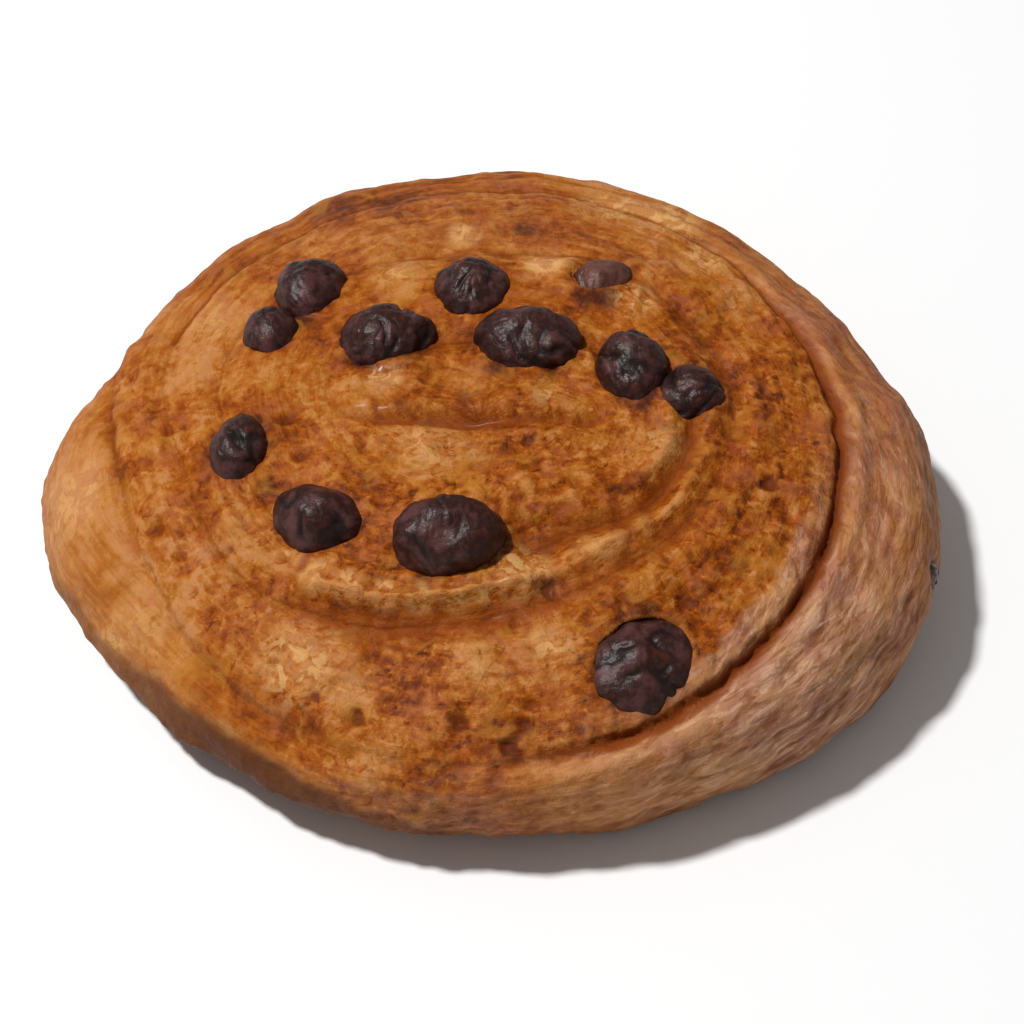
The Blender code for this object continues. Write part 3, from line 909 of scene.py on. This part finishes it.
def makeCustard():
    piece = copyOfNode("custard", "custard_baked")
    applyModifier(piece, "DISPLACE", strength=custard["swell"] * mm, mid_level=0.0)
    applyModifier(piece, "REMESH", mode="VOXEL", voxel_size=custard["voxel"] * mm)
    piece = keepLargestPart(piece)
    shows = placedOnCrust(custard["shows"])

    def shownAt(x, y):
        # how much it shows at a place, from 0 to 1, and its rise there
        found = []
        for spotX, spotY, radius, rise in shows:
            apart = (x - spotX) ** 2 + (y - spotY) ** 2
            found.append((math.exp(-(apart / radius**2)), rise))
        return max(found)

    def unseen(middle):
        return middle.z < custard["unseenBelow"] or shownAt(middle.x, middle.y)[0] < 0.02

    thinOut(piece, unseen, 0.08)
    print("custard remeshed:", len(piece.data.polygons), "faces")
    points = relaxed(piece, pointsOf(piece), 1)
    normals = normalsOf(piece)
    begin, full = custard["topDepth"]
    for number, (x, y, z) in enumerate(points):
        most, rise = shownAt(x, y)
        domed = crustHeight(x, y)
        if z > domed - begin:
            nearTop = soft(z, domed - begin, domed - full)
            aside = normals[number] * nearTop
            points[number][:2] += aside[:2] * soft(most, 0.2, 0.7) * custard["widened"]
            hidden = z - custard["sunk"]
            level = domed + rise + (z - domed) * custard["reliefKept"]
            points[number][2] = hidden + (level - hidden) * soft(most, 0.2, 0.6) * nearTop
    points = relaxed(piece, points, 2)
    setPoints(piece, points)
    piece.data.shade_smooth()
    finish = Finish("custard baked")
    spot = finish.place()
    clouds, fine = finish.grain(spot, 2.6, 3.0), finish.grain(spot, 0.8, 3.0)
    c = custard["colours"]
    colour = finish.mix(finish.between(clouds, 0.42, 0.62), c["set"], c["browned"])
    colour = finish.mix(finish.between(fine, 0.50, 0.66) * 0.6, colour, c["fresh"])
    finish.set(Base_Color=colour, Roughness=0.32 + fine * 0.2, Normal=finish.bump(fine, 0.3, 0.5))
    finish.shader.inputs["Coat Roughness"].default_value = 0.15
    finish.shader.inputs["Coat Weight"].default_value = 0.25
    piece.data.materials.append(finish.material)
    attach(piece, "root")
    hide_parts("custard")


raisins = {
    "levels": 3,
    # a raisin's own folds: size, depth and how they are drawn out along x, y and z, then its swell
    "shapes": {
        "back_left": (3.0, 0.32, (1.0, 1.0, 1.0), 0.60),
        "left_of_back": (3.2, 0.22, (1.0, 1.0, 1.0), 0.70),
        "inner_left": (2.6, 0.36, (1.0, 1.3, 1.0), 0.40),
        "back": (2.6, 0.34, (1.0, 1.0, 1.4), 0.60),
        "inner_back": (2.8, 0.38, (1.3, 1.0, 1.0), 0.45),
        "back_right": (2.6, 0.28, (1.0, 1.0, 1.0), 0.20),
        "inner_right": (2.6, 0.36, (1.0, 1.0, 1.0), 0.75),
        "right_end": (2.4, 0.32, (1.0, 1.0, 1.2), 0.90),
        "left": (3.0, 0.28, (1.0, 1.8, 1.0), 0.50),
        "front_left": (3.4, 0.26, (1.0, 1.0, 1.4), 0.45),
        "front": (2.8, 0.30, (0.8, 1.8, 1.8), 0.25),
        "outer_front": (3.2, 0.30, (1.6, 0.9, 1.0), 0.55),
        "side": (1.8, 0.25, (1.0, 1.0, 1.0), 0.10),
    },
    # the share of glaze and crumbs over a raisin, which shows browner for it
    "glazed": {"back_right": 0.45, "side": 0.55},
    # how far the side towards the viewer spreads over the crust, along x and y, in millimetres
    "spread": {
        "back_left": (0.3, -1.3), "inner_left": (-0.2, -1.3), "inner_back": (0.1, -1.3),
        "back": (0.0, -0.8), "inner_right": (0.2, -1.2), "right_end": (-0.8, -0.7),
        "back_right": (-0.3, -1.2),
    },
    "colours": {
        "glazed": (0.170, 0.060, 0.036),
        "skin": (0.023, 0.0065, 0.0048),
        "worn": (0.072, 0.024, 0.022),
        "red": (0.065, 0.014, 0.008),
        "fold": (0.006, 0.003, 0.003),
    },
}


def makeRaisin(node, finish):
    name = node.replace("raisin_", "")
    size, depth, drawn, swell = raisins["shapes"][name]
    piece = copyOfNode(node, f"{node}_dried")
    applyModifier(piece, "SUBSURF", levels=raisins["levels"], render_levels=raisins["levels"])
    points, normals = pointsOf(piece), normalsOf(piece)
    middle = (points.max(axis=0) + points.min(axis=0)) / 2.0
    seed = Vector((middle[0], middle[1], 31.0))
    foldAmount = np.zeros(len(points))
    spread = Vector((*raisins["spread"].get(name, (0.0, 0.0)), 0.0))
    for number, point in enumerate(points):
        spot = Vector(point - middle)
        points[number] += spread * soft(spot.dot(spread), 0.0, 3.5 * spread.length + 0.1)
        bent = Vector([side / stretch for side, stretch in zip(spot, drawn)]) + seed
        bent += 1.1 * noise.noise_vector(spot / 3.5 + seed)
        large = noise.noise(bent / size)
        small = noise.noise(bent / (0.45 * size) + Vector((5.0, 0.0, 0.0)))
        fold = math.exp(-((large / 0.17) ** 2)) * soft(noise.noise(spot / 3.0 + seed), -0.35, 0.25)
        fold += 0.30 * math.exp(-((small / 0.2) ** 2))
        foldAmount[number] = fold
        rise = swell + 0.75 * noise.noise(spot / 4.2 - seed) + 0.2 * noise.noise(spot / 1.8 + seed)
        points[number] += normals[number] * (rise - depth * fold)
    setPoints(piece, points)
    store(piece, "fold", foldAmount)
    store(piece, "glazed", np.full(len(points), raisins["glazed"].get(name, 0.0)))
    piece.data.shade_smooth()
    piece.data.materials.append(finish)
    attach(piece, "root")
    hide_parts(node)


def raisinFinish():
    c = raisins["colours"]
    finish = Finish("raisin dried")
    spot = finish.place()
    fold = finish.attribute("fold")
    clouds, fine = finish.grain(spot, 2.2, 3.0), finish.grain(spot, 0.55, 3.0)
    # lighter, redder patches at random over the dark skin
    colour = finish.mix(finish.between(clouds, 0.42, 0.64), c["skin"], c["worn"])
    colour = finish.mix(finish.between(clouds, 0.42, 0.30) * 0.8, colour, c["red"])
    # painted shade in the folds
    colour = finish.mix(finish.between(fold, 0.35, 1.0) * 0.8, colour, c["fold"])
    colour = finish.mix(finish.attribute("glazed") * finish.between(clouds, 0.25, 0.5), colour, c["glazed"])
    finish.set(Base_Color=colour, Roughness=0.28 + clouds * 0.30, Normal=finish.bump(fine, 0.25, 0.5))
    finish.shader.inputs["Specular IOR Level"].default_value = 0.27
    return finish.material


makeDough()
print("dough made")
makeCustard()
print("custard made")
skin = raisinFinish()
for node in sorted(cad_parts):
    if node.startswith("raisin_"):
        makeRaisin(node, skin)
print("raisins made")

bpy.context.view_layer.update()
